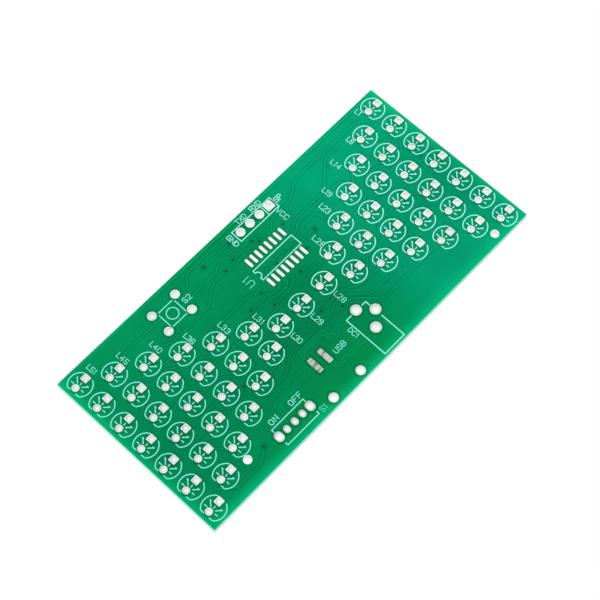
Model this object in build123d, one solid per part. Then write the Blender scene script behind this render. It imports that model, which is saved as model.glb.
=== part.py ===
from build123d import *
import os

# Bare circuit board for an electronic hourglass, ready for its parts to be soldered in.
# Sizes are in millimetres. The origin is the centre of the outline, level with the lowest lands.
# +X runs along the board towards the row of light 1, +Y towards the pin header's edge, +Z up.

INCH = 25.4

# Laminate, with the rim left outside the outermost lights
board_thickness = 1.6
rim_right = 2.66
rim_left = 2.99
rim_top = 2.92
rim_bottom = 3.04

# Copper and legend ink on the faces
land_height = 0.05
plating = 0.05
print_height = 0.03
print_width = 0.2
print_clearance = 0.27
print_shift = -0.18

# Lights: two triangles of rows that meet at a waist of single lights
row_counts = (7, 6, 5, 4, 3, 2, 1, 1, 1, 2, 3, 4, 5, 6, 7)
row_pitch = 0.22 * INCH
light_pitch = 0.22 * INCH
row_step = 0.12 * INCH
waist_step_right = 0.24 * INCH
waist_step_left = 0.20 * INCH
first_row_x = 1.55 * INCH
first_light_y = 0.66 * INCH
lead_pitch = 0.1 * INCH
light_land = 1.5
light_hole = 0.8
ring_radius = 2.33
ring_offset = -0.01 * INCH
ring_flat = 1.8

# Four-way pin header, pin 1 with the square land
header_pins = 4
header_pitch = 0.1 * INCH
header_last_x = 0.1 * INCH
header_y = 0.66 * INCH
header_land = 1.85
header_hole = 1.0

# Sixteen-lead chip, flat lands in two rows
chip_leads_per_row = 8
chip_pitch = 0.05 * INCH
chip_row_spacing = 0.22 * INCH
chip_x = 3.445
chip_y = 8.38
chip_land_length = 2.1
chip_land_width = 0.64
chip_body_length = 10.26
chip_body_width = 2.56
chip_notch_radius = 0.7

# Power jack: two contacts in line and one beside them
jack_x = 5.6
jack_y = -12.13
jack_contact_spacing = 4.94
jack_side_offset = 2.59
jack_land = 2.25
jack_hole = 1.5
jack_body_width = 5.2
jack_body_length = 9.53
jack_back_overhang = 0.04
jack_side_inset = 0.14

# Power socket: two flat contacts and two plated holes for its shell
socket_x = -6.15
socket_contact_y = -11.62
socket_contact_spacing = 2.6
socket_contact_width = 1.12
socket_contact_length = 3.3
socket_peg_y = -18.26
socket_peg_spacing = 7.18
socket_peg_land = 1.95
socket_peg_hole = 1.5

# Slide switch: three contacts between two posts, on oval lands
slide_x = -17.79
slide_y = -16.25
slide_contacts = 3
slide_pitch = 2.0
slide_contact_width = 1.3
slide_contact_length = 1.6
slide_contact_hole = 0.8
slide_post_spacing = 8.0
slide_post_width = 1.7
slide_post_length = 2.15
slide_post_hole = 1.3
slide_body_length = 8.08
slide_body_width = 3.98

# Push button: four leads
button_x = -17.86
button_y = 14.54
button_spacing_x = 6.0
button_spacing_y = 4.38
button_land = 1.85
button_hole = 1.0
button_body_length = 4.04
button_body_width = 3.82
button_cap_radius = 1.17

# Plain fixing holes
fixing_hole = 1.7
fixing_holes = [(34.85, -18.09), (-28.70, -15.11)]

# Vias, covered by the solder mask
via_drill = 0.45
via_bore = 0.3
via_places = [
    (-7.33, 16.66), (-0.79, 16.66), (-2.55, 13.87), (-5.08, 13.15), (2.56, 13.90),
    (3.56, 12.92), (9.16, 12.10), (12.45, 7.06), (2.54, 7.30), (4.32, 3.00),
    (8.60, 5.50), (-3.80, 5.29), (-3.82, 1.95), (-7.60, 4.27), (1.03, -5.16),
    (4.56, -7.38), (-19.29, -5.08), (-25.02, -15.52), (37.81, 3.07), (23.62, 14.52),
]


# Layout worked out from the sizes above, in the drill grid's frame
def row_lines():
    """The x of each row of lights, from the first to the last."""
    half = len(row_counts) // 2
    waist = [waist_step_right, row_pitch, waist_step_left]
    steps = [row_pitch] * (half - 1) + waist + [row_pitch] * (half - 2)
    lines = [first_row_x]
    for step in steps:
        lines.append(lines[-1] - step)
    return lines


def light_centres(row):
    """The midpoints between the two leads of each light in a row."""
    x = row_lines()[row]
    top = first_light_y - row_step * (row_counts[0] - row_counts[row])
    return [(x, top - light_pitch * n) for n in range(row_counts[row])]


def in_line(count, pitch):
    """Places of equal parts on a line, centred on zero, from + to -."""
    return [pitch * ((count - 1) / 2 - n) for n in range(count)]


header_x = header_last_x + header_pitch * (header_pins - 1) / 2
header_places = [(header_x + x, header_y) for x in in_line(header_pins, header_pitch)]
chip_places = [
    (chip_x + x, chip_y + y)
    for y in in_line(2, chip_row_spacing)
    for x in in_line(chip_leads_per_row, chip_pitch)
]
jack_places = [(jack_x, jack_y + y) for y in in_line(2, jack_contact_spacing)]
jack_places.append((jack_x + jack_side_offset, jack_y))
socket_contacts = [(socket_x + x, socket_contact_y) for x in in_line(2, socket_contact_spacing)]
socket_pegs = [(socket_x + x, socket_peg_y) for x in in_line(2, socket_peg_spacing)]
slide_places = [(slide_x + x, slide_y) for x in in_line(slide_contacts, slide_pitch)]
slide_posts = [(slide_x + x, slide_y) for x in in_line(2, slide_post_spacing)]
button_places = [
    (button_x + x, button_y + y)
    for y in in_line(2, button_spacing_y)
    for x in in_line(2, button_spacing_x)
]

# Outline of the board in the grid's frame, and the grid's place in the board's own frame
rows = row_lines()
last_light_y = first_light_y - light_pitch * (row_counts[0] - 1)
edge_right = first_row_x + rim_right
edge_left = rows[-1] - rim_left
edge_top = first_light_y + rim_top
edge_bottom = last_light_y - rim_bottom
board_length = edge_right - edge_left
board_width = edge_top - edge_bottom
grid_shift = (-(edge_right + edge_left) / 2, -(edge_top + edge_bottom) / 2)

board_bottom = land_height
board_top = board_bottom + board_thickness


# Plated holes: a land on each face and the barrel that joins them
def plated_hole(land, bore):
    """One plated hole at the origin, from the sketch of its land."""
    opening = Circle(bore / 2)
    ring = land - opening
    sleeve = Circle(bore / 2 + plating) - opening
    lower = extrude(ring, land_height)
    barrel = Pos(0, 0, board_bottom) * extrude(sleeve, board_thickness)
    upper = Pos(0, 0, board_top) * extrude(ring, land_height)
    return (lower + barrel + upper).solid()


def flat_land(sketch):
    """One land on the top face only."""
    return Pos(0, 0, board_top) * extrude(sketch, land_height)


def oval(width, length):
    """An upright oval land."""
    return SlotOverall(length, width, rotation=90)


def place(shapes, places):
    """Copies of one shape at each place of the grid."""
    return [Pos(x + grid_shift[0], y + grid_shift[1]) * shapes for x, y in places]


# Board, drilled for every lead, via and fixing screw
def drill(places, diameter):
    return [Pos(x, y) * Circle(diameter / 2) for x, y in places]


def build_board():
    holes = drill(fixing_holes, fixing_hole)
    for row in range(len(row_counts)):
        for x, y in light_centres(row):
            leads = [(x + lead_pitch / 2, y), (x - lead_pitch / 2, y)]
            holes += drill(leads, light_hole + 2 * plating)
    holes += drill(header_places, header_hole + 2 * plating)
    holes += drill(jack_places, jack_hole + 2 * plating)
    holes += drill(socket_pegs, socket_peg_hole + 2 * plating)
    holes += drill(slide_places, slide_contact_hole + 2 * plating)
    holes += drill(slide_posts, slide_post_hole + 2 * plating)
    holes += drill(button_places, button_hole + 2 * plating)
    holes += drill(via_places, via_drill)
    moved = [Pos(*grid_shift) * hole for hole in holes]
    outline = Rectangle(board_length, board_width) - moved
    return [Pos(0, 0, board_bottom) * extrude(outline, board_thickness)]


# Lands
def build_light_lands(row):
    square = plated_hole(Rectangle(light_land, light_land), light_hole)
    round_land = plated_hole(Circle(light_land / 2), light_hole)
    centres = light_centres(row)
    solids = place(square, [(x + lead_pitch / 2, y) for x, y in centres])
    solids += place(round_land, [(x - lead_pitch / 2, y) for x, y in centres])
    return solids


def build_header_lands():
    square = plated_hole(Rectangle(header_land, header_land), header_hole)
    round_land = plated_hole(Circle(header_land / 2), header_hole)
    return place(square, header_places[:1]) + place(round_land, header_places[1:])


def build_chip_lands():
    return place(flat_land(oval(chip_land_width, chip_land_length)), chip_places)


def build_jack_lands():
    return place(plated_hole(Circle(jack_land / 2), jack_hole), jack_places)


def build_socket_contacts():
    contact = Rectangle(socket_contact_width, socket_contact_length)
    return place(flat_land(contact), socket_contacts)


def build_socket_pegs():
    return place(plated_hole(Circle(socket_peg_land / 2), socket_peg_hole), socket_pegs)


def build_slide_lands():
    contact = plated_hole(oval(slide_contact_width, slide_contact_length), slide_contact_hole)
    post = plated_hole(oval(slide_post_width, slide_post_length), slide_post_hole)
    return place(contact, slide_places) + place(post, slide_posts)


def build_button_lands():
    return place(plated_hole(Circle(button_land / 2), button_hole), button_places)


def build_vias():
    barrel = Circle(via_drill / 2) - Circle(via_bore / 2)
    return place(Pos(0, 0, board_bottom) * extrude(barrel, board_thickness), via_places)


# Legend ink: outlines drawn in a line of one width, kept clear of the lands
def frame_line(length, width):
    """A rectangle drawn with the legend's line."""
    outer = Rectangle(length + print_width, width + print_width)
    return outer - Rectangle(length - print_width, width - print_width)


def ring_line(radius):
    return Circle(radius + print_width / 2) - Circle(radius - print_width / 2)


def clear_of(places, land):
    """The spaces round the lands that the ink leaves free."""
    return [Pos(x, y) * land for x, y in places]


def ink(sketch):
    """Solids of ink from a sketch in the grid's frame, printed a little low."""
    place_on_board = Pos(grid_shift[0], grid_shift[1] + print_shift, board_top)
    return (place_on_board * extrude(sketch, print_height)).solids()


def light_ring():
    """The outline of one light: a ring with a flat, open at the two lands."""
    half_flat = (ring_radius ** 2 - ring_flat ** 2) ** 0.5
    kept = 2 * ring_radius + print_width
    right_of_flat = Pos(kept / 2 - ring_flat, 0) * Rectangle(kept, kept)
    flat = Pos(-ring_flat, 0) * Rectangle(print_width, 2 * half_flat)
    outline = Pos(ring_offset, 0) * ((ring_line(ring_radius) & right_of_flat) + flat)
    free = light_land + 2 * print_clearance
    square = Pos(lead_pitch / 2, 0) * Rectangle(free, free)
    round_land = Pos(-lead_pitch / 2, 0) * Circle(free / 2)
    return outline - [square, round_land]


def build_light_rings():
    pieces = ink(light_ring())
    solids = []
    for row in range(len(row_counts)):
        for x, y in light_centres(row):
            solids += [Pos(x, y) * piece for piece in pieces]
    return solids


def build_header_print():
    outline = frame_line(header_pitch * header_pins, header_pitch)
    divider_x = header_pitch * (header_pins / 2 - 1)
    divider = Pos(divider_x, 0) * Rectangle(print_width, header_pitch)
    return ink(Pos(header_x, header_y) * (outline + divider))


def build_chip_print():
    outline = frame_line(chip_body_length, chip_body_width)
    notch_line = Pos(-chip_body_length / 2, 0) * ring_line(chip_notch_radius)
    notch_inside = Pos(-chip_body_length / 2, 0) * Circle(chip_notch_radius - print_width / 2)
    body = Rectangle(chip_body_length + print_width, chip_body_width + print_width)
    return ink(Pos(chip_x, chip_y) * (outline + (notch_line & body) - notch_inside))


def build_jack_print():
    centre_y = jack_y + jack_contact_spacing / 2 + jack_back_overhang - jack_body_length / 2
    centre_x = jack_x + jack_side_offset - jack_side_inset - jack_body_width / 2
    outline = Pos(centre_x, centre_y) * frame_line(jack_body_width, jack_body_length)
    free = Circle(jack_land / 2 + print_clearance)
    return ink(outline - clear_of(jack_places, free))


def build_slide_print():
    outline = Pos(slide_x, slide_y) * frame_line(slide_body_length, slide_body_width)
    free = oval(slide_post_width + 2 * print_clearance, slide_post_length + 2 * print_clearance)
    return ink(outline - clear_of(slide_posts, free))


def build_button_print():
    outline = frame_line(button_body_length, button_body_width) + ring_line(button_cap_radius)
    free = Circle(button_land / 2 + print_clearance)
    return ink(Pos(button_x, button_y) * outline - clear_of(button_places, free))


def light_row_name(row):
    """Such as light_lands_08_13, after the first and last light of the row."""
    first = sum(row_counts[:row]) + 1
    last = first + row_counts[row] - 1
    numbers = f"{first:02d}" if first == last else f"{first:02d}_{last:02d}"
    return f"light_lands_{numbers}"


def main():
    nodes = {
        "board": build_board(),
        "header_lands": build_header_lands(),
        "chip_lands": build_chip_lands(),
        "jack_lands": build_jack_lands(),
        "socket_contact_lands": build_socket_contacts(),
        "socket_peg_lands": build_socket_pegs(),
        "slide_switch_lands": build_slide_lands(),
        "button_lands": build_button_lands(),
        "vias": build_vias(),
        "light_outline_print": build_light_rings(),
        "header_print": build_header_print(),
        "chip_print": build_chip_print(),
        "jack_print": build_jack_print(),
        "slide_switch_print": build_slide_print(),
        "button_print": build_button_print(),
    }
    for row in range(len(row_counts)):
        nodes[light_row_name(row)] = build_light_lands(row)
    os.makedirs("parts", exist_ok=True)
    for name, solids in nodes.items():
        export_step(Compound(children=solids), f"parts/{name}.step")


main()
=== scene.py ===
import math

import bmesh
import bpy
from mathutils import Matrix, Vector


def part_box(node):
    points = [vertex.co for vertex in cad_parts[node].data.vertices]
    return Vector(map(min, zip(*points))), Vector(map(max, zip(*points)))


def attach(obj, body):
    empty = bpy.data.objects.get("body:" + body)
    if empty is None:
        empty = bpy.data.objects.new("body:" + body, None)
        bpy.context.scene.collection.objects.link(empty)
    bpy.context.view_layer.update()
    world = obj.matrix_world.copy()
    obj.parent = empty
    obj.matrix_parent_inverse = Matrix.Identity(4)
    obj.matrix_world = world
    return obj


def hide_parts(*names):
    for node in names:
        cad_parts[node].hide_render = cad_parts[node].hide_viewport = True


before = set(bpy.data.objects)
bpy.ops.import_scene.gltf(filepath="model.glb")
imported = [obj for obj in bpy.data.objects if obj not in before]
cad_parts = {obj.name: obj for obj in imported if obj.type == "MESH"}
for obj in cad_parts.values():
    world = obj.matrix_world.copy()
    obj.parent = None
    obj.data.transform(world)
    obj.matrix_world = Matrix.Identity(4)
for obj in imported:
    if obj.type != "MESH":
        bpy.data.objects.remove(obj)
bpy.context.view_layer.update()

# Sizes are in millimetres, unless a comment says otherwise. Blender's own unit is the metre.
MM = 0.001

# The traced places below are in the drill grid. This is its place in the frame.
GRID_X = -0.089
GRID_Y = 0.06

board_low, board_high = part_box("board")
FACE = board_high.z / MM
UNDERSIDE = board_low.z / MM
LAND_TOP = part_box("chip_lands")[1].z / MM
INK_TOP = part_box("header_print")[1].z / MM

# Camera, as solved from the lights' lands in the photograph
CAMERA_PLACE = (-91.070, -85.514, 284.619)
CAMERA_RIGHT = (0.68423, -0.72926, 0.00163)
CAMERA_UP = (0.66717, 0.62687, 0.40239)
CAMERA_BACK = (-0.29447, -0.27424, 0.91547)
LENS = 101.0
SENSOR = 36.0
# The nearest and farthest that it sees, in metres
CLIP = (0.01, 20.0)


# Small helpers
def at_grid(x, y):
    """A place on the drill grid, as a place in the frame."""
    return (x + GRID_X, y + GRID_Y)


def new_object(name, mesh, body="root"):
    thing = bpy.data.objects.new(name, mesh)
    bpy.context.scene.collection.objects.link(thing)
    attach(thing, body)
    return thing


class Build:
    """Collects vertices in millimetres, faces, a shade per vertex and the faces that take the second
    material, then makes one mesh."""

    def __init__(self):
        self.points = []
        self.faces = []
        self.shades = []
        self.second = set()

    def add(self, x, y, z, shade=0.0):
        self.points.append((x * MM, y * MM, z * MM))
        self.shades.append(shade)
        return len(self.points) - 1

    def bridge(self, first, second, closed=True, second_material=False):
        count = len(first)
        for n in range(count if closed else count - 1):
            m = (n + 1) % count
            if second_material:
                self.second.add(len(self.faces))
            self.faces.append((first[n], first[m], second[m], second[n]))

    def finish(self, name, materials, smooth=True):
        mesh = bpy.data.meshes.new(name)
        mesh.from_pydata(self.points, [], self.faces)
        shade = mesh.attributes.new("shade", "FLOAT", "POINT")
        shade.data.foreach_set("value", self.shades)
        for material in materials:
            mesh.materials.append(material)
        for polygon in mesh.polygons:
            polygon.use_smooth = smooth
            polygon.material_index = 1 if polygon.index in self.second else 0
        mesh.update()
        thing = new_object(name, mesh)
        return thing


# Materials
def socket_colour(red, green, blue):
    """An sRGB colour from 0 to 255 as linear RGBA."""
    def linear(value):
        value /= 255
        return value / 12.92 if value <= 0.04045 else ((value + 0.055) / 1.055) ** 2.4
    return (linear(red), linear(green), linear(blue), 1.0)


# The Mix node's sockets for colours
MIX_INPUTS = (0, 6, 7)
MIX_RESULT = 2


class Tree:
    """Short calls for one node tree."""

    def __init__(self, owner):
        owner.use_nodes = True
        self.tree = owner.node_tree

    def node(self, kind, **values):
        made = self.tree.nodes.new(kind)
        for key, value in values.items():
            setattr(made, key, value)
        return made

    def join(self, output, entry):
        self.tree.links.new(output, entry)

    def fill(self, entries, values):
        """Sets each entry to its number or colour, or joins it to its output."""
        for entry, value in zip(entries, values):
            if isinstance(value, (int, float, tuple)):
                entry.default_value = value
            else:
                self.join(value, entry)

    def math(self, operation, *values):
        made = self.node("ShaderNodeMath", operation=operation)
        self.fill(made.inputs, values)
        return made.outputs[0]

    def product(self, first, *others):
        for other in others:
            first = self.math("MULTIPLY", first, other)
        return first

    def span(self, value, low, high, to_low=0.0, to_high=1.0):
        """The value, moved from one range to another."""
        made = self.node("ShaderNodeMapRange")
        self.fill(made.inputs, (value, low, high, to_low, to_high))
        return made.outputs[0]

    def parts(self, vector):
        """The x, y and z of a vector."""
        split = self.node("ShaderNodeSeparateXYZ")
        self.join(vector, split.inputs[0])
        return tuple(split.outputs)

    def blend(self, factor, first, second):
        """A shader between two others."""
        made = self.node("ShaderNodeMixShader")
        self.fill(made.inputs, (factor, first.outputs[0], second.outputs[0]))
        return made.outputs[0]


class Surface(Tree):
    """One material with a Principled shader."""

    def __init__(self, name):
        self.material = bpy.data.materials.new(name)
        super().__init__(self.material)
        self.shader = self.tree.nodes["Principled BSDF"]
        self.place = self.node("ShaderNodeTexCoord").outputs["Object"]

    def shade(self):
        """The shade that a mesh keeps on its vertices."""
        return self.node("ShaderNodeAttribute", attribute_name="shade").outputs["Fac"]

    def noise(self, scale, detail, roughness=0.55, stretch=None):
        made = self.node("ShaderNodeTexNoise")
        made.inputs["Scale"].default_value = scale
        made.inputs["Detail"].default_value = detail
        made.inputs["Roughness"].default_value = roughness
        source = self.place
        if stretch:
            mapping = self.node("ShaderNodeMapping")
            mapping.inputs["Scale"].default_value = stretch
            self.join(source, mapping.inputs["Vector"])
            source = mapping.outputs[0]
        self.join(source, made.inputs["Vector"])
        return made.outputs["Fac"]

    def ramp(self, value, stops):
        made = self.node("ShaderNodeValToRGB")
        elements = made.color_ramp.elements
        while len(elements) < len(stops):
            elements.new(0.5)
        for element, (position, colour) in zip(elements, stops):
            element.position = position
            element.color = colour
        self.join(value, made.inputs[0])
        return made.outputs[0]

    def mix(self, factor, first, second, blend="MIX"):
        made = self.node("ShaderNodeMix", data_type="RGBA", blend_type=blend)
        self.fill([made.inputs[n] for n in MIX_INPUTS], (factor, first, second))
        return made.outputs[MIX_RESULT]

    def tinted(self, colour, tone):
        """The colour times a grey tone."""
        grey = self.node("ShaderNodeCombineColor")
        for entry in grey.inputs:
            self.join(tone, entry)
        return self.mix(1.0, colour, grey.outputs[0], "MULTIPLY")

    def bump(self, noise, strength, distance):
        made = self.node("ShaderNodeBump")
        made.inputs["Strength"].default_value = strength
        made.inputs["Distance"].default_value = distance
        self.join(self.noise(*noise), made.inputs["Height"])
        self.join(made.outputs[0], self.shader.inputs["Normal"])

    def set(self, **values):
        """Fills the shader's sockets, with _ for each space in a name."""
        for key, value in values.items():
            self.fill([self.shader.inputs[key.replace("_", " ")]], [value])


# Noise of the materials: scale, detail and, where given, roughness and stretch along x, y and z
CLOUD = (160, 2.0)
WEAVE = (2600, 2.0)
FIBRES = (900, 3.0, 0.6, (1.0, 1.0, 7.0))
MASK_GRAIN = (1400, 2.0)
TIN_REGIONS = (90, 1.0)
TIN_PATCH_DETAIL = (4.0, 0.65)
TIN_GLOSS = (3200, 2.0)
TIN_GRAIN = (2400, 2.0, 0.5)
BARREL_STAIN = (1800, 2.0, 0.5, (1.0, 1.0, 0.4))
INK_COVER = (5200, 2.0)
INK_GRAIN = (6000, 2.0)
COPPER_STAIN = (3000, 3.0)

# Where a noise has most of its values
MOST = (0.3, 0.7)

# Bump: strength, and distance in metres
FINE_BUMP = (0.06, 0.00002)
INK_BUMP = (0.15, 0.00001)

# Solder mask. Places along and across the board run from 0 to 1. A range of four is where it starts and
# ends, and the strength at each.
DEEP_GREEN = socket_colour(0, 137, 85)
# Painted light: the mask turns lighter towards the right end of the board
PAINTED_LIT_GREEN = socket_colour(0, 158, 113)
WARM_GREEN = socket_colour(0, 137, 72)
GLOW_GREEN = socket_colour(5, 200, 136)
DRILLED_WALL = socket_colour(240, 253, 248)
# Painted light: where along the board the mask turns from the deep to the lighter green
PAINTED_LIGHT_ALONG = (0.56, 0.72)
WARM_PLACE = 0.44
WARM_ALONG = (0.05, 0.3, 1.0, 0.0)
WARM_ACROSS = (0.1, 0.4, 0.8, 0.0)
DIM_LINE = 0.38
DIM_TONE = (0.0, 0.5, 0.82, 1.06)
RIGHT_END_TONE = (0.85, 1.0, 1.0, 0.93)
CLOUD_TONE = (0.94, 1.06)
WEAVE_TONE = (0.97, 1.03)
FIBRE_TONE = (0.9, 1.06)

# Width, rise and greatest share of the paler borders, where light comes in through the cut edge:
# a wide one along the left, right and front, and a narrow one along the right and back
EDGE_GLOW = 2.6
EDGE_GLOW_POWER = 1.5
EDGE_GLOW_MOST = 0.54
FAR_GLOW = 0.8
FAR_GLOW_MOST = 0.32

# Cut edge, from the underside to the upper face. Its two darkest stops at the underside are painted shadow
# where the board meets the floor.
CUT_EDGE = (
    (0.0, socket_colour(60, 158, 126)), (0.05, socket_colour(120, 182, 160)),
    (0.12, socket_colour(202, 240, 228)), (0.5, socket_colour(164, 228, 209)),
    (0.88, socket_colour(134, 222, 194)), (0.96, socket_colour(70, 204, 158)),
    (1.0, socket_colour(16, 170, 116)),
)
# A wall is where the z of the normal is less than this
STEEP = 0.3
# A wall this far from the board's rim is a hole's
HOLE_WALL_FROM = 0.5
MASK_ROUGHNESS = 0.34
EDGE_ROUGHNESS = 0.75
HOLE_WALL_SMOOTHER = 0.5
HOLE_WALL_METALLIC = 0.6


def mask_material():
    """Solder mask on the faces, bare laminate on the cut edges and in the holes."""
    made = Surface("solder_mask")
    half_x, half_y = board_high.x, board_high.y
    x, y, z = made.parts(made.place)
    along = made.span(x, -half_x, half_x)
    across = made.span(y, -half_y, half_y)
    # Painted light: lighter green towards the right end of the board
    green = made.mix(made.span(along, *PAINTED_LIGHT_ALONG), DEEP_GREEN, PAINTED_LIT_GREEN)
    off_place = made.math("ABSOLUTE", made.math("SUBTRACT", along, WARM_PLACE))
    warm = made.product(made.span(across, *WARM_ACROSS), made.span(off_place, *WARM_ALONG))
    green = made.mix(warm, green, WARM_GREEN)

    rim_x = made.math("SUBTRACT", half_x, made.math("ABSOLUTE", x))
    rim_y = made.math("SUBTRACT", half_y, made.math("ABSOLUTE", y))
    lit_rim = made.math("MINIMUM", rim_x, made.math("ADD", y, half_y))
    near_glow = made.span(lit_rim, 0.0, EDGE_GLOW * MM, 1.0, 0.0)
    near_glow = made.product(made.math("POWER", near_glow, EDGE_GLOW_POWER), EDGE_GLOW_MOST)
    far_rim = made.math("MINIMUM", made.math("SUBTRACT", half_x, x), made.math("SUBTRACT", half_y, y))
    far_glow = made.span(far_rim, 0.0, FAR_GLOW * MM, FAR_GLOW_MOST, 0.0)
    green = made.mix(made.math("ADD", near_glow, far_glow), green, GLOW_GREEN)

    off_line = made.math("ABSOLUTE", made.math("SUBTRACT", across, DIM_LINE))
    # The shade that the track relief, mask openings and via mounds keep paints their shade and highlights
    # into the mask's tone
    tone = made.product(
        made.span(made.noise(*CLOUD), *MOST, *CLOUD_TONE),
        made.span(made.noise(*WEAVE), *MOST, *WEAVE_TONE),
        made.math("ADD", made.shade(), 1.0),
        made.span(off_line, *DIM_TONE),
        made.span(along, *RIGHT_END_TONE),
    )
    green = made.tinted(green, tone)

    edge = made.ramp(made.span(z, board_low.z, board_high.z), CUT_EDGE)
    inside = made.math("GREATER_THAN", made.math("MINIMUM", rim_x, rim_y), HOLE_WALL_FROM * MM)
    edge = made.mix(inside, edge, DRILLED_WALL)
    edge = made.tinted(edge, made.span(made.noise(*FIBRES), *MOST, *FIBRE_TONE))

    normal = made.parts(made.node("ShaderNodeNewGeometry").outputs["True Normal"])
    steep = made.math("LESS_THAN", made.math("ABSOLUTE", normal[2]), STEEP)
    hole_wall = made.product(steep, inside)
    rough = made.span(steep, 0.0, 1.0, MASK_ROUGHNESS, EDGE_ROUGHNESS)
    made.set(
        Base_Color=made.mix(steep, green, edge),
        Roughness=made.math("SUBTRACT", rough, made.product(hole_wall, HOLE_WALL_SMOOTHER)),
        Metallic=made.product(hole_wall, HOLE_WALL_METALLIC),
        Specular_IOR_Level=0.015,
    )
    made.bump(MASK_GRAIN, *FINE_BUMP)
    return made.material


# Tin: colours of the painted shade at the lip and the painted reflection of the green mask at the rim, which
# values of the noise are patches or streaks, in which regions the patches show, and roughness
LIP_SHADE_GREY = socket_colour(150, 155, 150)
RIM_REFLECTION_GREEN = socket_colour(70, 150, 116)
TIN_PATCHES = (0.36, 0.64)
TIN_STREAKS = (0.5, 0.58)
TIN_REGION_SHARE = (0.4, 0.6, 0.2, 1.0)
TIN_ROUGHNESS = (0.3, 0.42)


def tin_material(name, bright, dull, patches, streaks=None, ends=(1.0, 1.0)):
    """Solder-levelled tin: bright, uneven and dull in patches, with painted shade at the lip of a hole and a
    painted reflection of the green mask at its rim. ends is how bright it is at the left and right end of the
    board, which is painted light."""
    made = Surface(name)
    patch = made.noise(patches, *TIN_PATCH_DETAIL, streaks)
    if streaks:
        patch = made.span(patch, *TIN_STREAKS)
    else:
        regions = made.span(made.noise(*TIN_REGIONS), *TIN_REGION_SHARE)
        patch = made.product(made.span(patch, *TIN_PATCHES), regions)
    x = made.parts(made.place)[0]
    # Painted light: the tin is duller or brighter towards the ends of the board, as ends gives
    colour = made.tinted(made.mix(patch, bright, dull), made.span(x, -board_high.x, board_high.x, *ends))
    # Painted shade towards the lip's grey where the mesh's shade is above zero, and a painted reflection of
    # the green mask where it is below zero
    shade = made.shade()
    colour = made.mix(shade, colour, LIP_SHADE_GREY)
    made.set(
        Base_Color=made.mix(made.product(shade, -1.0), colour, RIM_REFLECTION_GREEN),
        Roughness=made.span(made.noise(*TIN_GLOSS), *MOST, *TIN_ROUGHNESS),
        Metallic=0.8,
    )
    made.bump((*TIN_GRAIN, streaks), *FINE_BUMP)
    return made.material


# Walls of the holes
BARREL_BRIGHT = socket_colour(232, 251, 246)
BARREL_DULL = socket_colour(222, 246, 240)
BARREL_ROUGHNESS = (0.06, 0.12)


def barrel_material():
    """The tinned wall of a hole, bright and a little blue against the crowns of the lands, with painted shade
    towards the top of its dark side.
    """
    made = Surface("tinned_barrel")
    stain = made.span(made.noise(*BARREL_STAIN), *MOST)
    # Painted shade towards the lip's grey where the mesh's shade is above zero
    made.set(
        Base_Color=made.mix(made.shade(), made.mix(stain, BARREL_BRIGHT, BARREL_DULL), LIP_SHADE_GREY),
        Roughness=made.span(stain, 0.0, 1.0, *BARREL_ROUGHNESS),
        Metallic=1.0,
    )
    return made.material


# Ink: its colours at the right and the left, where it covers well and where it is faint, and from where
# to where along the board they change
INK_FULL = (socket_colour(184, 250, 240), socket_colour(148, 240, 226))
INK_FAINT = (socket_colour(140, 237, 226), socket_colour(110, 226, 210))
INK_RIGHT_TO_LEFT = (12.0, -18.0)
INK_THIN = socket_colour(24, 226, 196)
INK_FAINT_FROM_TO = (0.35, 0.65)
INK_ROUGHNESS = (0.5, 0.7)


def ink_material():
    """Legend ink, greener where the mesh's shade says that it is thin."""
    made = Surface("legend_ink")
    faint = made.span(made.noise(*INK_COVER), *INK_FAINT_FROM_TO)
    x = made.parts(made.place)[0]
    left = made.span(x, *(place * MM for place in INK_RIGHT_TO_LEFT))
    colour = made.mix(faint, made.mix(left, *INK_FULL), made.mix(left, *INK_FAINT))
    made.set(
        Base_Color=made.mix(made.shade(), colour, INK_THIN),
        Roughness=made.span(faint, 0.0, 1.0, *INK_ROUGHNESS),
        Specular_IOR_Level=0.2,
    )
    made.bump(INK_GRAIN, *INK_BUMP)
    return made.material


# Barrels of the vias
COPPER = socket_colour(120, 92, 60)
COPPER_STAINED = socket_colour(40, 70, 52)
COPPER_ROUGHNESS = (0.35, 0.6)


def copper_material():
    """Bare copper, stained green in places."""
    made = Surface("via_copper")
    stain = made.span(made.noise(*COPPER_STAIN), *MOST)
    made.set(
        Base_Color=made.mix(stain, COPPER, COPPER_STAINED),
        Roughness=made.span(stain, 0.0, 1.0, *COPPER_ROUGHNESS),
        Metallic=0.9,
    )
    return made.material


MASK = mask_material()
TIN = tin_material(
    "tinned_land", bright=socket_colour(252, 254, 249), dull=socket_colour(233, 240, 232), patches=1500,
)
# Painted light: the lights' lands are duller towards the left end of the board and brighter towards the right
LIGHT_TIN = tin_material(
    "tinned_light_land", bright=socket_colour(243, 254, 249), dull=socket_colour(208, 226, 216),
    patches=1500, ends=(0.86, 1.04),
)
WORN_TIN = tin_material(
    "worn_tinned_land", bright=socket_colour(226, 240, 231), dull=socket_colour(188, 202, 193), patches=1700,
)
BARREL = barrel_material()
GREY_TIN = tin_material(
    "dull_tinned_land", bright=socket_colour(196, 202, 192), dull=socket_colour(130, 136, 128),
    patches=1000, streaks=(0.3, 1.7, 1.0),
)
INK = ink_material()
VIA_COPPER = copper_material()


# Lands: read from the frame's own solids, remade with a rolled rim, a low crown and a bright barrel
LAND_CORNERS = 48
# Vertices nearer than this, in metres, are one
SAME_VERTEX = 1e-6
# A land is square if its corners reach this share of the way to its box's corners
SQUARE_SHARE = 0.99


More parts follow.
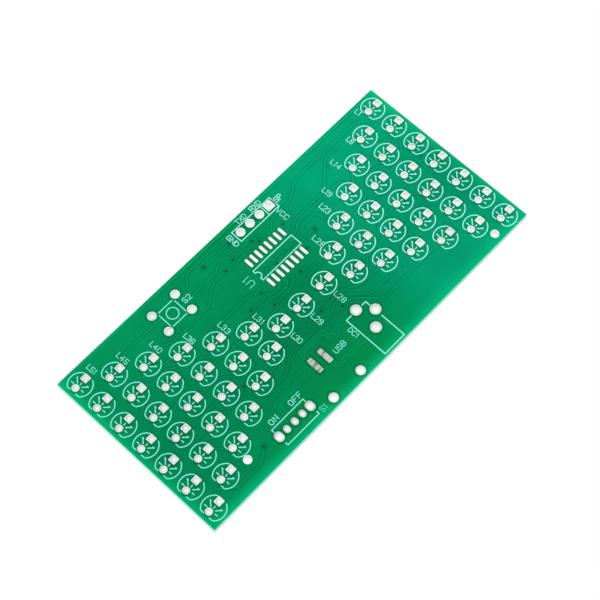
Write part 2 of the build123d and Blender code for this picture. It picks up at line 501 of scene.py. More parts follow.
def solids_of(node):
    """Centre, size, bore and corner test of each separate solid of a node, in millimetres."""
    shape = bmesh.new()
    shape.from_mesh(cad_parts[node].data)
    bmesh.ops.remove_doubles(shape, verts=shape.verts, dist=SAME_VERTEX)
    waiting = set(shape.verts)
    found = []
    while waiting:
        start = waiting.pop()
        island = [start]
        stack = [start]
        while stack:
            vertex = stack.pop()
            for edge in vertex.link_edges:
                other = edge.other_vert(vertex)
                if other in waiting:
                    waiting.remove(other)
                    island.append(other)
                    stack.append(other)
        xs = [v.co.x / MM for v in island]
        ys = [v.co.y / MM for v in island]
        centre = ((min(xs) + max(xs)) / 2, (min(ys) + max(ys)) / 2)
        size = (max(xs) - min(xs), max(ys) - min(ys))
        reaches = [math.dist(place, centre) for place in zip(xs, ys)]
        square = max(reaches) > SQUARE_SHARE * math.hypot(*size) / 2
        found.append({"centre": centre, "size": size, "bore": min(reaches), "square": square})
    shape.free()
    return sorted(found, key=lambda solid: (-solid["centre"][0], -solid["centre"][1]))


# How square the corners of a square land are, and how soon an oval's round ends begin
SQUARE_POWER = 14.0
OVAL_EASE = 4


def outline_point(solid, angle, inset):
    """A point on the land's outline, moved inward by inset."""
    width, length = (side / 2 - inset for side in solid["size"])
    cos, sin = math.cos(angle), math.sin(angle)
    if solid["square"]:
        reach = abs(cos / width) ** SQUARE_POWER + abs(sin / length) ** SQUARE_POWER
        reach **= -1 / SQUARE_POWER
        return (reach * cos, reach * sin)
    radius = min(width, length)
    straight = max(width, length) - radius
    if length >= width:
        return (radius * cos, radius * sin + math.copysign(straight, sin) * min(1.0, OVAL_EASE * abs(sin)))
    return (radius * cos + math.copysign(straight, cos) * min(1.0, OVAL_EASE * abs(cos)), radius * sin)


# Rings of a face, from its rim inward: inset, share of the land's height, and shade, where below zero is the
# painted reflection of the green mask beside the rim
RIM = (
    (0.0, 0.0, -0.6), (0.01, 0.35, -0.45), (0.035, 0.7, -0.1),
    (0.08, 0.9, 0.0), (0.16, 0.98, 0.0), (0.26, 1.0, 0.0),
)
# Rings at its hole: reach past the bore, share of the land's height, and painted shade
LIP = ((0.1, 0.97, 0.25), (0.06, 0.92, 0.6), (0.03, 0.8, 0.9), (0.01, 0.5, 0.9), (0.0, 0.2, 0.7))
# The flat between rim and lip, and the least share of the rim's insets on a narrow land
CROWN_FLAT = 0.03
LEAST_RIM = 0.15
# Rings at the top of a hole's wall: depth below the face, and painted shade
WALL_TOP = ((0.02, 0.34), (0.4, 0.06))
WALL_EASE = 0.02

# Painted shade falls on one side of each hole. That side's direction turns by some degrees a millimetre
# along the board, from what it is at the middle.
DARK_SIDE_DEGREES = 83
DARK_SIDE_TURN = 1.1
DARK_SIDE_LEVEL = 0.36
DARK_SIDE_SWING = 0.54
# How much of a crown's painted shade is on all sides, and how much on that side
CROWN_SHADE = 0.35
CROWN_SHADE_SIDE = 0.65


def dark_side(solid, angle):
    """How much painted shade the tin gets in one direction from a hole."""
    towards = math.radians(DARK_SIDE_DEGREES - DARK_SIDE_TURN * solid["centre"][0])
    return max(0.0, DARK_SIDE_LEVEL + DARK_SIDE_SWING * math.cos(angle - towards))


def ring_of(build, solid, z, spot, shade, lean):
    """A ring of points round a land. lean, if not None, is the share of the shade at each angle."""
    ring = []
    for n in range(LAND_CORNERS):
        angle = 2 * math.pi * (n + 0.5) / LAND_CORNERS
        x, y = spot(angle)
        here = shade * lean(angle) if lean else shade
        ring.append(build.add(solid["centre"][0] + x, solid["centre"][1] + y, z, here))
    return ring


def outline_ring(build, solid, z, inset, shade, lean):
    """A ring along the land's outline, moved inward by inset."""
    return ring_of(build, solid, z, lambda angle: outline_point(solid, angle, inset), shade, lean)


def bore_ring(build, solid, z, radius, shade=0.0):
    """A round ring, with its shade on the dark side."""
    def spot(angle):
        return (radius * math.cos(angle), radius * math.sin(angle))
    return ring_of(build, solid, z, spot, shade, lambda angle: dark_side(solid, angle))


def land_face(build, solid, level, direction, dull):
    """Rings of one face of a land, from its rim to its bore or its middle."""
    def crown_lean(angle):
        return CROWN_SHADE + CROWN_SHADE_SIDE * dark_side(solid, angle)

    height = (LAND_TOP - FACE) * direction
    through = solid["bore"] > 0
    room = min(solid["size"]) / 2 - solid["bore"] - LIP[0][0] - CROWN_FLAT
    narrow = max(LEAST_RIM, min(1.0, room / RIM[-1][0])) if through else 1.0
    rings = []
    # On the crown rings dull paints shade, more on the dark side; rim shade below zero paints the mask's
    # reflection
    for inset, share, shade in RIM:
        on_crown = shade == 0
        rings.append(outline_ring(
            build, solid, level + height * share, inset * narrow,
            dull if on_crown else shade, crown_lean if on_crown else None,
        ))
    if through:
        for extra, share, shade in LIP:
            shade = max(0.0, shade * direction)
            rings.append(bore_ring(build, solid, level + height * share, solid["bore"] + extra, shade))
    return rings


def tinned_lands(node, material, flat=False, dull=0.0):
    """Stands for a node of lands. flat lands have one face and no bore; dull is the painted shade of their
    crowns.
    """
    build = Build()
    for solid in solids_of(node):
        if flat:
            solid["bore"] = 0
        upper = land_face(build, solid, FACE, 1, dull)
        for first, second in zip(upper, upper[1:]):
            build.bridge(first, second)
        if flat:
            build.faces.append(tuple(upper[-1]))
            continue
        lower = land_face(build, solid, UNDERSIDE, -1, 0.0)
        for first, second in zip(lower, lower[1:]):
            build.bridge(second, first)
        wall = [upper[-1]]
        for depth, shade in WALL_TOP:
            wall.append(bore_ring(build, solid, FACE - depth, solid["bore"], shade))
        wall += [bore_ring(build, solid, UNDERSIDE + WALL_EASE, solid["bore"]), lower[-1]]
        for first, second in zip(wall, wall[1:]):
            build.bridge(first, second, second_material=True)
    thing = build.finish(node + "_tinned", (material, BARREL))
    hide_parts(node)


# Material and painted crown shade of the lands with holes that aren't a light's
OTHER_LANDS = {
    "header_lands": (TIN, 0.0), "jack_lands": (WORN_TIN, 0.0), "socket_peg_lands": (WORN_TIN, 0.0),
    "slide_switch_lands": (WORN_TIN, 0.8), "button_lands": (LIGHT_TIN, 0.0),
}
light_nodes = sorted(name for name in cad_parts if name.startswith("light_lands"))
through_nodes = light_nodes + list(OTHER_LANDS)
for node in through_nodes:
    material, dull = OTHER_LANDS.get(node, (LIGHT_TIN, 0.0))
    tinned_lands(node, material, dull=dull)
tinned_lands("chip_lands", TIN, flat=True)
tinned_lands("socket_contact_lands", GREY_TIN, flat=True)

through_lands = [solid for node in through_nodes for solid in solids_of(node)]
flat_lands = solids_of("chip_lands") + solids_of("socket_contact_lands")
vias = solids_of("vias")


# Ribbons: a line of some width along points, with a profile across it
# Points nearer than this are one
SAME_POINT = 1e-4
# At a bend a ribbon gets wider by no more than 1 over this
SHARPEST_BEND = 0.45


def fillet(points, reach, parts):
    """Cuts the corners of a line of points in a curve of some parts. It starts at reach from each, or half
    way along the run if that is nearer."""
    out = [points[0]]
    for before, corner, after in zip(points, points[1:], points[2:]):
        ends = []
        for other in (before, after):
            length = math.hypot(other[0] - corner[0], other[1] - corner[1])
            share = min(reach / length, 0.5)
            ends.append(tuple(corner[k] + (other[k] - corner[k]) * share for k in (0, 1)))
        for n in range(parts + 1):
            t = n / parts
            weights = ((1 - t) ** 2, 2 * t * (1 - t), t ** 2)
            out.append(tuple(
                weights[0] * ends[0][k] + weights[1] * corner[k] + weights[2] * ends[1][k] for k in (0, 1)
            ))
    out.append(points[-1])
    return [b for a, b in zip([None] + out, out) if a is None or math.dist(a, b) > SAME_POINT]


def divide(points, step):
    """Adds points so that no run is longer than step."""
    out = [points[0]]
    for (ax, ay), (bx, by) in zip(points, points[1:]):
        parts = max(1, math.ceil(math.hypot(bx - ax, by - ay) / step))
        out += [(ax + (bx - ax) * n / parts, ay + (by - ay) * n / parts) for n in range(1, parts + 1)]
    return out


def sideways(points, closed):
    """The unit step to the left at each point, lengthened at bends so that the width stays."""
    count = len(points)
    result = []
    for n in range(count):
        before = points[(n - 1) % count] if closed or n else points[n]
        after = points[(n + 1) % count] if closed or n < count - 1 else points[n]
        here = points[n]
        ways = []
        for a, b in ((before, here), (here, after)):
            length = math.hypot(b[0] - a[0], b[1] - a[1])
            if length > 0:
                ways.append(((a[1] - b[1]) / length, (b[0] - a[0]) / length))
        x = sum(way[0] for way in ways)
        y = sum(way[1] for way in ways)
        length = math.hypot(x, y) or 1.0
        x, y = x / length, y / length
        spread = max(SHARPEST_BEND, x * ways[0][0] + y * ways[0][1])
        result.append((x / spread, y / spread))
    return result


def past_end(end, neighbour, cap):
    """The end of a line, moved outward by cap."""
    (ax, ay), (bx, by) = end, neighbour
    length = math.hypot(bx - ax, by - ay)
    return (ax - (bx - ax) * cap / length, ay - (by - ay) * cap / length)


def ribbon(build, points, profile, level, closed=False, cap=0.0, strengths=None):
    """Adds a ribbon. profile is (offset, height, shade) across the line, times the strength at each point."""
    if not closed and cap:
        points = [past_end(points[0], points[1], cap)] + points[1:]
        points = points[:-1] + [past_end(points[-1], points[-2], cap)]
    steps = sideways(points, closed)
    rows = []
    for (x, y), (sx, sy), strength in zip(points, steps, strengths or [1.0] * len(points)):
        rows.append([
            build.add(x + sx * o, y + sy * o, level + h * strength, s * strength) for o, h, s in profile
        ])
    pairs = list(zip(rows, rows[1:]))
    if closed:
        pairs.append((rows[-1], rows[0]))
    for first, second in pairs:
        build.bridge(second, first, closed=False)
    if not closed:
        build.faces.append(tuple(reversed(rows[0])))
        build.faces.append(tuple(rows[-1]))


# Legend: shares of a printed line's height and half width where its edge turns, and how far one stroke
# lies above another that it meets, so that no two faces coincide
INK_SHOULDER = 0.6
INK_FLAT = 0.7
STROKE_STEP = 0.002


def ink_profile(width, thin=0.0):
    """Offset, height and shade across a printed line."""
    height = INK_TOP - FACE
    half = width / 2
    left = ((-half, 0.0, thin), (-half, height * INK_SHOULDER, thin), (-half * INK_FLAT, height, thin))
    return left + tuple((-offset, level, thin) for offset, level, thin in reversed(left))


# Printed names, drawn in strokes on a grid. A point is its column and row, from the lower left.
GLYPH_COLUMNS = 4
GLYPH_ROWS = 6
GLYPHS = {
    "0": "10 30 41 45 36 16 05 01 10", "1": "05 16 10", "2": "05 16 36 45 44 00 40",
    "3": "05 16 36 45 44 33 42 41 30 10 01/23 33", "4": "30 36 02/02 42",
    "5": "46 06 03 33 42 41 30 10 01", "6": "45 36 16 05 01 10 30 41 42 33/33 03",
    "8": "13 04 05 16 36 45 44 33 42 41 30 10 01 02 13/13 33",
    "9": "01 10 30 41 45 36 16 05 04 13/13 43", "B": "33 42 41 30 00 06 36 45 44 33/03 33",
    "C": "45 36 16 05 01 10 30 41", "D": "00 06 26 44 42 20 00", "F": "00 06 46/03 33",
    "G": "45 36 16 05 01 10 30 41 43 23", "I": "00 06", "L": "06 00 40", "N": "00 06 40 46",
    "O": "10 30 41 45 36 16 05 01 10", "P": "00 06 36 45 44 33/33 03",
    "R": "00 06 36 45 44 33/33 03/23 40", "S": "45 36 16 05 04 13 33 42 41 30 10 01",
    "T": "06 46/26 20", "U": "06 01 10 30 41 46", "V": "06 20 46", "X": "06 40/00 46",
}
# Share of the usual advance
NARROW = {"1": 0.6, "I": 0.25, "L": 0.85}

# How thin the ink of a name is, from 0 to 1
THIN_NAMES = {"S1": 0.7, "U1": 0.45, "DC1": 0.4, "USB": 0.3, "L28": 0.25, "L51": 0.15}

# Text, start of its base line on the drill grid, direction in degrees, cap height, glyph width, advance,
# line width
NAMES = [
    ("L1", 36.09, 18.63, -90, 0.97, 0.62, 0.98, 0.13),
    ("L8", 30.46, 15.63, -90, 1.01, 0.56, 0.85, 0.14),
    ("L14", 24.76, 14.58, -90, 1.03, 0.62, 1.05, 0.12),
    ("L19", 19.26, 11.63, -90, 1.03, 0.62, 0.88, 0.12),
    ("L23", 16.4, 9.7, -90, 1.1, 0.64, 0.83, 0.13),
    ("L26", 10.64, 6.13, -90, 1.03, 0.64, 1.04, 0.125),
    ("L28", 5.06, -4.54, -90, 1.03, 0.64, 0.98, 0.115),
    ("L29", -1.09, -4.54, -90, 1.03, 0.64, 0.93, 0.13),
    ("L30", -6.39, -4.54, -90, 1.03, 0.64, 0.8, 0.125),
    ("L31", -8.39, 3.16, -90, 1.01, 0.62, 1.02, 0.13),
    ("L33", -14.02, 6.72, -90, 1.03, 0.64, 1.02, 0.14),
    ("L36", -19.83, 9.73, -90, 0.99, 0.62, 0.9, 0.15),
    ("L40", -25.19, 13.03, -90, 1.01, 0.64, 0.97, 0.13),
    ("L45", -30.86, 15.86, -90, 1.01, 0.62, 1, 0.135),
    ("L51", -36.13, 18.14, -90, 0.99, 0.62, 0.89, 0.14),
    ("TXD", 3.26, 18.14, 0, 0.98, 0.7, 0.88, 0.13),
    ("RXD", 7.08, 18.14, 0, 0.98, 0.7, 0.9, 0.15),
    ("ISP", 11.47, 16.1, 0, 1.05, 0.68, 0.92, 0.165),
    ("USB", -3.12, -12.91, 0, 1.03, 0.7, 0.97, 0.14),
    ("S2", -14.81, 14.02, 0, 1.05, 0.7, 0.98, 0.155),
    ("S1", -13.06, -18.76, 0, 1.03, 0.68, 0.98, 0.13),
    ("ON", -21.18, -13.86, 0, 1.01, 0.71, 1.12, 0.17),
    ("OFF", -16.1, -13.86, 0, 1.01, 0.71, 1.06, 0.15),
    ("GND", -0.26, 17.84, -90, 0.99, 0.71, 0.96, 0.155),
    ("VCC", 10.19, 15.1, -90, 0.99, 0.73, 1.02, 0.13),
    ("U1", -3.08, 7.49, 90, 1.47, 1.03, 1.62, 0.13),
    ("DC1", 1.51, -11.32, -90, 0.92, 0.68, 0.9, 0.135),
]


def write(build, text, x, y, degrees, cap, width, advance, line):
    """Adds one name, with its strokes on two levels in turn."""
    turn = math.radians(degrees)
    cos, sin = math.cos(turn), math.sin(turn)
    run = 0.0
    level = FACE
    profile = ink_profile(line, THIN_NAMES.get(text, 0.0))
    for letter in text:
        for stroke in GLYPHS[letter].split("/"):
            spots = []
            for pair in stroke.split():
                across = run + int(pair[0]) / GLYPH_COLUMNS * width
                up = int(pair[1]) / GLYPH_ROWS * cap
                spots.append(at_grid(x + across * cos - up * sin, y + across * sin + up * cos))
            closed = spots[0] == spots[-1]
            if closed:
                spots = spots[:-1]
            ribbon(build, spots, profile, level, closed, cap=line / 2)
            level = FACE + STROKE_STEP if level == FACE else FACE
        run += advance * NARROW.get(letter, 1.0)


names = Build()
for row in NAMES:
    write(names, *row)
names.finish("names_print", (INK,), smooth=False)

# The sign inside each light's ring, as printed between its lands: strokes from the light's middle, the
# width of their line, and the distance of the two lands
INK_LINE = 0.2
LIGHT_PAIR_PITCH = 2.54
LIGHT_SIGN = (
    ((-0.88, 1.5), (-0.88, 0.74)), ((-0.42, 0.36), (0.36, 1.2)), ((0.39, 1.4), (0.39, 0.98)),
    ((-0.45, -0.7), (0.34, -1.5)), ((0.39, -1.22), (0.39, -1.68)), ((-0.88, -1.02), (-0.88, -1.66)),
    ((-0.32, -0.17), (0.23, -0.17)),
)
signs = Build()
for node in light_nodes:
    for solid in solids_of(node):
        if not solid["square"]:
            continue
        x, y = solid["centre"]
        x -= LIGHT_PAIR_PITCH / 2
        for number, stroke in enumerate(LIGHT_SIGN):
            spots = [(x + px, y + py) for px, py in stroke]
            ribbon(signs, spots, ink_profile(INK_LINE), FACE + number % 2 * STROKE_STEP)
signs.finish("light_signs_print", (INK,), smooth=False)

# Tracks under the mask, traced on the drill grid
TRACKS = [
    [(-22, 19.1), (41, 19.1)],
    [(38.1, 11.18), (38.1, 13.6), (37, 14.9), (34.5, 17), (17.5, 17), (15.3, 15.5), (13.3, 14.6),
     (9, 14.45), (7.9, 14.1), (6.8, 13), (6.62, 12.3)],
    [(5.08, 16.76), (6, 15), (7.2, 13.75)],
    [(33, 16.05), (25.3, 16.05), (24, 15.3), (20.4, 11.9), (19.5, 11.25), (11.3, 11.2), (9.8, 10.3),
     (8.8, 9.4), (-1.5, 9.3)],
    [(23.88, 7.62), (23.3, 10.2), (22.5, 10.45), (11.7, 10.55), (10.3, 9.7), (8.8, 9.0), (-1.5, 8.9)],
    [(15.75, 4.57), (15.3, 6.6), (15.3, 8.8), (14.5, 9.4), (12, 9.4), (10.7, 8.7), (8.8, 8.5), (0.8, 8.4),
     (-0.1, 7.5), (-0.4, 6.6)],
    [(2.54, 7.35), (12.45, 7.2)],
    [(4.32, 3.0), (15, 2.9)],
    [(10.16, 1.52), (5.5, 1.45), (4.2, 1.05), (-7, 1.05), (-9.65, 1.52)],
    [(-3.82, 1.95), (1.3, 2.15), (2.8, 3.6), (2.81, 4.6)],
    [(1.54, 4.6), (1.4, 3.6), (0.4, 2.85), (-2.3, 2.85), (-3, 3.3), (-13, 3.35), (-14.3, 2.9), (-15, 2.2),
     (-15.24, -1.02)],
    [(-20.83, 2.03), (-18.5, 2), (-17.5, 1.5), (-12.19, 1.52)],
    [(-7.6, 4.27), (-3, 4.25), (-2.2, 3.7), (-0.5, 3.6), (0.27, 4.6)],
    [(-3.8, 5.29), (-5, 6.3), (-5.6, 6.6), (-13, 6.6), (-14.8, 6.4), (-15.24, 4.57)],
    [(-25, 12), (-22.4, 10.5), (-21.8, 10.35), (-12.5, 10.35), (-9.5, 12.6), (-8.3, 13.1), (-5.08, 13.15),
     (-4.3, 12.75), (-2.4, 12.7), (-1.8, 13.05), (0.2, 13.1), (0.9, 12.7), (1.54, 12.2)],
    [(-2.55, 13.87), (0.3, 13.8), (1.7, 13.2), (2.6, 12.5), (2.81, 12.2)],
    [(2.56, 13.9), (3.4, 14), (4.4, 13.7), (5.2, 12.7), (5.35, 12.2)],
    [(3.56, 12.92), (4.07, 12.2)],
    [(9.16, 12.1), (8.4, 11.5), (7.9, 11.2)],
    [(8.6, 5.5), (7.9, 5.57)],
    [(-37.6, 11.2), (-37.3, 13.2), (-36.4, 14.5), (-35.3, 15.1), (-14.5, 15.15), (-12.6, 16), (-10.6, 17.8),
     (-9.5, 18.2), (3.5, 18.2)],
    [(-15.8, 14.2), (-7, 14.2), (-6, 14.6), (-5, 15.2), (1, 15.25)],
    [(-7.33, 16.66), (-0.79, 16.66), (2.54, 16.76)],
    [(-33.5, 10), (-31, 10.15), (-29.6, 8.9), (-28.5, 8.45), (-24.4, 8.4), (-23.37, 7.62)],
    [(-38, 3.2), (-37.3, 3.3), (-36.3, 3.8), (-35.2, 5), (-34, 5.4), (-32, 5.75), (-31, 6.2), (-29.8, 7.3),
     (-26.6, 7.4), (-24.8, 6.3), (-24, 5.9), (-18.8, 5.85), (-17.78, 4.57)],
    [(-33, 0.4), (-31.6, 0.8), (-30.8, 0.9), (-30, 1.5), (-28, 1.8)],
    [(-28.3, 3.9), (-27.4, 3.4), (-26.5, 3.2), (-24.6, 3.3), (-23.37, 2.03)],
    [(-22, 4.3), (-20.4, 4.3), (-19.2, 3.3), (-18.3, 2.9)],
    [(-26.42, -0.51), (-22, -0.5), (-20.8, -0.8), (-19, -2.5), (-17.5, -3.3)],
    [(-34, -5.1), (-31.2, -5.1), (-29.6, -3.8), (-28, -3.6), (-23.37, -3.56)],
    [(-26.42, -6.1), (-22, -6.2), (-20.8, -5.6), (-19.29, -5.08), (-19.2, -6), (-19.2, -7.8), (-18.3, -8.9),
     (-12.5, -9.1), (-11, -8.3), (-10, -7.3), (-9, -7), (-0.9, -6.95), (0, -7.6), (1, -8.1), (3.3, -8.1),
     (4.56, -7.38), (5.6, -7.3), (7, -7.6), (10.4, -11.2), (11.4, -11.8), (25.5, -11.75), (26.92, -11.68)],
    [(-15.24, -6.6), (-12, -6.65), (-10, -5.7), (-1.5, -5.6), (-0.2, -6.6), (0.6, -7), (2, -7), (3.6, -5.95),
     (6.5, -5.95), (9.9, -9.3), (11, -9.5), (20.6, -9.5), (21.34, -9.14)],
    [(1.03, -5.16), (6, -5.05), (8, -5.6), (9.5, -6.7), (11, -6.95), (14.8, -6.9), (15.75, -6.6)],
    [(-9.65, -4.2), (10.16, -4.2)],
    [(-38, -14.4), (-37, -14.5), (-36.3, -14.9), (-35.3, -15.9), (-34.3, -16.9), (-33.4, -17.35),
     (-28.2, -17.4), (-26.7, -16.9), (-25.02, -15.52)],
    [(-34, -6.7), (-31, -6.85), (-29.3, -8.6), (-28, -9.1), (-23.37, -9.14)],
    [(-32, -8.64), (-31, -9.7), (-29.6, -11), (-28.96, -11.68)],
    [(19, -3.1), (21.4, -0.9), (23, -0.55), (26.92, -0.51)],
    [(12.5, -6), (13.6, -5.2), (15.2, -3.75), (21.34, -3.56)],
    [(23.88, -3.56), (23.88, -0.51)],
    [(23.88, -9.14), (23.88, -6.1), (26.92, -6.1)],
    [(28.5, -3.9), (30.2, -4.6), (32, -4.6)],
    [(29, -10.1), (32, -10.2)],
    [(29.46, -0.51), (30.2, -1), (31.9, -2.7), (32.51, -3.05)],
    [(29.46, 10.67), (30.3, 10.3), (31.6, 9), (32.51, 8.13)],
    [(29.46, 5.08), (34.3, 5.08), (35.4, 4.7), (36.6, 3.3), (36.6, -0.8), (37.6, -2.3), (38.1, -5.59)],
    [(33, 11), (34.8, 10.4), (37, 10)],
    [(18.29, 4.57), (23.6, 4.6), (24.8, 5.2), (26.6, 7.2), (27.5, 7.55), (30.2, 7.55), (31.8, 6.2),
     (35.8, 6.2), (37.25, 7.6), (37.25, 9.6), (38.1, 11.18)],
    [(23.88, 7.62), (24.9, 8.9), (26, 10), (26.92, 10.67)],
    [(22.6, 4.1), (25.3, 3.8), (26.8, 2.6), (32.51, 2.54)],
    [(28, 1.4), (30.2, 1), (35, 1)],
    [(12.7, 1.52), (13.6, 0.9), (15.2, -0.6), (15.75, -1.02)],
    [(-15.24, -1.02), (-12.5, -1.2), (-8, -1.3), (-7.11, -1.52)],
    [(-16, -3.9), (-14.8, -3.3), (-13.2, -2.5)],
]
WIDE_TRACKS = [
    [(-7.45, -9.99), (-7.45, -8.1), (-1.8, -8.1), (-1.8, -9.65), (4.6, -9.65)],
    [(-4.85, -13.25), (-4.85, -14.6), (4.6, -14.6)],
    [(-7.98, -11.75), (-17.79, -11.75), (-17.79, -15.8)],
]

# Widths, the greatest step between points, how far from a corner its bend starts, and the bend's parts
TRACK_WIDTH = 0.34
WIDE_TRACK = 1.0
TRACK_STEP = 0.3
TRACK_BEND = 0.7
TRACK_BEND_PARTS = 4
# The one wide track with cut corners, and how far from a corner the cut starts
BEVELLED_TRACK = 1
WIDE_TRACK_BEVEL = 0.42
# Height of the relief
TRACK_HEIGHT = 0.016
# One side of a track, from the outside in: reach past its edge, height, and shade, which paints the relief's
# shade (below zero) and highlight (above zero)
TRACK_SIDE = ((0.32, 0.0, 0.0), (0.07, 0.002, -0.32), (-0.07, TRACK_HEIGHT, 0.16))
WIDE_TRACK_SIDE = (
    (0.22, 0.0, 0.0), (0.12, 0.001, -0.26), (0.03, 0.004, -0.26),
    (-0.02, TRACK_HEIGHT, 0.42), (-0.14, TRACK_HEIGHT, 0.42), (-0.2, TRACK_HEIGHT, 0.0),
)
# How far the first track lies above the face, and each further one above it, so that no faces coincide
TRACK_LIFT = 0.0004
TRACK_LIFT_STEP = 0.00003
# A track stops this far inside a land's box, and this near the middle of a via
LAND_OVERLAP = 0.05
VIA_CLEAR = 0.3
# An end this near to a land or to the middle of a via keeps its height
LAND_REACH = 0.45
VIA_REACH = 0.8
# Strength of the first points at any other end
FADE = (0.0, 0.35, 0.75)


def at_land(x, y, margin, via_reach):
    """Whether a point lies within a margin of a land, or within a reach of a via."""
    for solid in through_lands + flat_lands:
        cx, cy = solid["centre"]
        if abs(x - cx) < solid["size"][0] / 2 + margin and abs(y - cy) < solid["size"][1] / 2 + margin:
            return True
    return any(math.dist((x, y), via["centre"]) < via_reach for via in vias)


def clear_runs(points):
    """The parts of a line that lie outside the lands, without those of one or two points."""
    runs = [[]]
    for x, y in points:
        if at_land(x, y, -LAND_OVERLAP, VIA_CLEAR):
            runs.append([])
        else:
            runs[-1].append((x, y))
    return [run for run in runs if len(run) > 2]


def fading(run):
    """Strength of a track's relief: it sinks away at an end that meets neither a land nor a via."""
    strengths = [1.0] * len(run)
    for end, from_start in ((run[0], True), (run[-1], False)):
        if not at_land(*end, LAND_REACH, VIA_REACH):
            for n, strength in enumerate(FADE[:len(run)]):
                strengths[n if from_start else -1 - n] *= strength
    return strengths


def track_profile(width, side):
    """Offset, height and shade across a track, from the table of one side."""
    half = width / 2
    left = [(-half - reach, height, shade) for reach, height, shade in side]
    return left + [(-offset, height, shade) for offset, height, shade in reversed(left)]


def build_tracks(name, lines, width, side, wide=False):
    build = Build()
    for number, line in enumerate(lines):
        level = FACE + TRACK_LIFT + TRACK_LIFT_STEP * number
        points = [at_grid(x, y) for x, y in line]
        if wide:
            runs = [fillet(points, WIDE_TRACK_BEVEL, 1) if number == BEVELLED_TRACK else points]
        else:
            runs = clear_runs(divide(fillet(points, TRACK_BEND, TRACK_BEND_PARTS), TRACK_STEP))
        for run in runs:
            strengths = None if wide else fading(run)
            ribbon(build, run, track_profile(width, side), level, strengths=strengths)
    build.finish(name, (MASK,))


build_tracks("track_relief", TRACKS, TRACK_WIDTH, TRACK_SIDE)
build_tracks("wide_track_relief", WIDE_TRACKS, WIDE_TRACK, WIDE_TRACK_SIDE, wide=True)

# Openings: the mask stops a little short of each land; the darker band along that step is partly the bare gap
# and partly painted shade
# Rings of the step: distance from the land, and share of the shade
OPENING = ((0.0, 1.0), (0.15, 1.0), (0.32, 0.7), (0.58, 0.0))
OPENING_SHADE = -0.3
FINE_OPENING_SHADE = -0.36
# Share of that distance where there is less room: between the chip's lands, and by the front edge
SHORT_OPENINGS = {"chip_lands": 0.5, "socket_peg_lands": 0.9}
# Height over the face at the land, and how much less it is at each millimetre from there
OPENING_LIFT = 0.001
OPENING_FALL = 0.0007
# The painted shade along a fine land's step is deepest on its left
OPEN_SIDE_LEVEL = 0.7
OPEN_SIDE_SWING = 0.3


def open_side(angle):
    """Share of the step's painted shade in one direction from a fine land."""
    return OPEN_SIDE_LEVEL - OPEN_SIDE_SWING * math.cos(angle)


openings = Build()
for node in through_nodes + ["chip_lands", "socket_contact_lands"]:
    fine = node in light_nodes or node in ("header_lands", "chip_lands")
    depth = FINE_OPENING_SHADE if fine else OPENING_SHADE
    for solid in solids_of(node):
        rings = []
        for outset, share in OPENING:
            outset *= SHORT_OPENINGS.get(node, 1.0)
            level = FACE + OPENING_LIFT - OPENING_FALL * outset
            lean = open_side if fine else None
            rings.append(outline_ring(openings, solid, level, -outset, depth * share, lean))
        for first, second in zip(rings, rings[1:]):
            openings.bridge(second, first)
openings.finish("mask_openings", (MASK,))

# Vias: the mask closes each one in a low mound with a dark dimple
# Rings of a mound: radius, height, shade, and how much that changes towards its lit side and away from it
VIA_CORNERS = 24
VIA_HALO = 0.95
VIA_MOUND = 0.42
MOUND = (
    (VIA_HALO, 0.0003, 0.0, 0.0), (0.72, 0.0006, -0.05, 0.0), (0.56, 0.0012, -0.16, -0.05),
    (VIA_MOUND, 0.008, -0.02, 0.14), (0.32, TRACK_HEIGHT, -0.08, 0.08), (0.24, 0.012, -0.42, 0.0),
    (0.165, 0.006, -0.72, 0.0), (0.13, 0.0, -0.8, 0.0), (0.11, -0.02, -0.84, 0.0), (0.06, -0.04, -0.84, 0.0),
)
FILLED_MOUND = (
    (VIA_HALO, 0.0003, -0.04, 0.0), (0.75, 0.0006, -0.14, 0.0), (0.56, 0.002, -0.26, -0.05),
    (0.4, 0.006, -0.16, 0.12), (0.3, 0.008, -0.3, 0.05), (0.2, 0.01, -0.6, 0.0),
    (0.12, 0.009, -0.76, 0.0), (0.06, 0.008, -0.8, 0.0),
)
MOUND_LIT_SIDE = math.radians(-70)
FILLED_VIAS = ((-7.33, 16.66), (-0.79, 16.66), (12.45, 7.06), (-25.02, -15.52))


def mound_ring(build, centre, radius, z, shade, lit):
    """A round ring of a mound, lighter by lit on its lit side and darker on the other."""
    ring = []
    for n in range(VIA_CORNERS):
        angle = 2 * math.pi * n / VIA_CORNERS
        x = centre[0] + radius * math.cos(angle)
        y = centre[1] + radius * math.sin(angle)
        ring.append(build.add(x, y, z, shade + lit * math.cos(angle - MOUND_LIT_SIDE)))
    return ring


mounds = Build()
for via in vias:
    centre = via["centre"]
    filled = any(math.dist(centre, at_grid(*place)) < VIA_MOUND for place in FILLED_VIAS)
    for level, way in ((FACE, 1), (UNDERSIDE, -1)):
        rings = [
            mound_ring(mounds, centre, radius, level + way * height, shade, lit)
            for radius, height, shade, lit in (FILLED_MOUND if filled else MOUND)
        ]
        for first, second in zip(rings, rings[1:]):
            if way > 0:
                mounds.bridge(first, second)
            else:
                mounds.bridge(second, first)
        mounds.faces.append(tuple(rings[-1]) if way > 0 else tuple(reversed(rings[-1])))
mounds.finish("via_mounds", (MASK,))


# The nodes that stay get their materials
def dress(node, material):
    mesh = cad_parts[node].data
    mesh.materials.clear()
    mesh.materials.append(material)


dress("board", MASK)
dress("vias", VIA_COPPER)
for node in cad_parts:
    if node.endswith("_print"):
        dress(node, INK)

# Floor: white paper. Seen by the camera, in metal or through glass it is mostly plain white, and the rest
# of it takes the object's shadow.
PAPER_COLOUR = (0.98, 0.98, 0.98, 1)
PAPER_PLAIN = 0.94
WHITE = (1, 1, 1, 1)
# Half of its side in metres, and its squares along a side
FLOOR_REACH = 3.0
FLOOR_SQUARES = 8

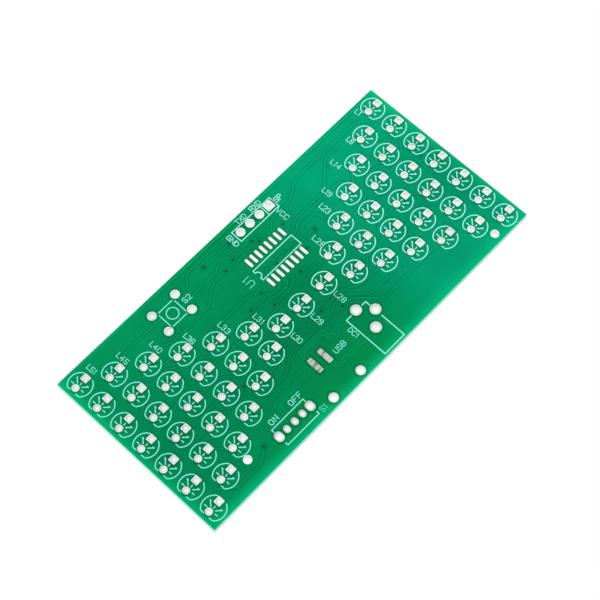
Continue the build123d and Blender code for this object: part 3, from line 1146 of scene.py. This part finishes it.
floor_mesh = bpy.data.meshes.new("floor")
floor_shape = bmesh.new()
bmesh.ops.create_grid(floor_shape, x_segments=FLOOR_SQUARES, y_segments=FLOOR_SQUARES, size=FLOOR_REACH)
floor_shape.to_mesh(floor_mesh)
floor_shape.free()
floor = bpy.data.objects.new("floor", floor_mesh)
bpy.context.scene.collection.objects.link(floor)

paper = bpy.data.materials.new("white_paper")
made = Tree(paper)
made.tree.nodes.clear()
lit = made.node("ShaderNodeBsdfDiffuse")
lit.inputs["Color"].default_value = PAPER_COLOUR
glow = made.node("ShaderNodeEmission")
glow.inputs["Color"].default_value = WHITE
glow.inputs["Strength"].default_value = 1.0
ray = made.node("ShaderNodeLightPath").outputs
seen = made.math("MAXIMUM", ray["Is Camera Ray"], ray["Is Glossy Ray"])
seen = made.math("MAXIMUM", seen, ray["Is Transmission Ray"])
output = made.node("ShaderNodeOutputMaterial")
made.join(made.blend(made.product(seen, PAPER_PLAIN), lit, glow), output.inputs["Surface"])
floor_mesh.materials.append(paper)

# World: a white room, which lights the object a little less from near the horizon
# From and to which height of the direction, and the strength at each
ROOM_STRENGTH = (0.0, 0.5, 0.8, 1.0)

world = bpy.data.worlds.new("white_room")
bpy.context.scene.world = world
made = Tree(world)
made.tree.nodes.clear()
direction = made.parts(made.node("ShaderNodeTexCoord").outputs["Generated"])
room = made.node("ShaderNodeBackground")
room.inputs["Color"].default_value = WHITE
made.join(made.span(direction[2], *ROOM_STRENGTH), room.inputs["Strength"])
plain = made.node("ShaderNodeBackground")
plain.inputs["Color"].default_value = WHITE
ray = made.node("ShaderNodeLightPath").outputs
output = made.node("ShaderNodeOutputWorld")
made.join(made.blend(ray["Is Camera Ray"], room, plain), output.inputs["Surface"])

# Lamps: two wide soft boxes. Name, place and size in metres, and power in watts.
LAMPS = (
    ("key", (0.35, -0.25, 0.55), 0.6, 0.3),
    ("fill", (-0.5, -0.05, 0.18), 0.6, 0.5),
)
for name, place, size, power in LAMPS:
    lamp = bpy.data.lights.new(name, "AREA")
    lamp.shape = "SQUARE"
    lamp.size = size
    lamp.energy = power
    box = bpy.data.objects.new(name, lamp)
    bpy.context.scene.collection.objects.link(box)
    box.location = place
    box.rotation_mode = "QUATERNION"
    box.rotation_quaternion = Vector(place).to_track_quat("Z", "Y")
    box.visible_glossy = False

# Camera
lens = bpy.data.cameras.new("camera")
lens.lens = LENS
lens.sensor_width = SENSOR
lens.clip_start, lens.clip_end = CLIP
camera = bpy.data.objects.new("camera", lens)
bpy.context.scene.collection.objects.link(camera)
turn = Matrix((CAMERA_RIGHT, CAMERA_UP, CAMERA_BACK)).transposed().to_4x4()
camera.matrix_world = Matrix.Translation(Vector(CAMERA_PLACE) * MM) @ turn
bpy.context.scene.camera = camera
bpy.context.scene.view_settings.view_transform = "Standard"
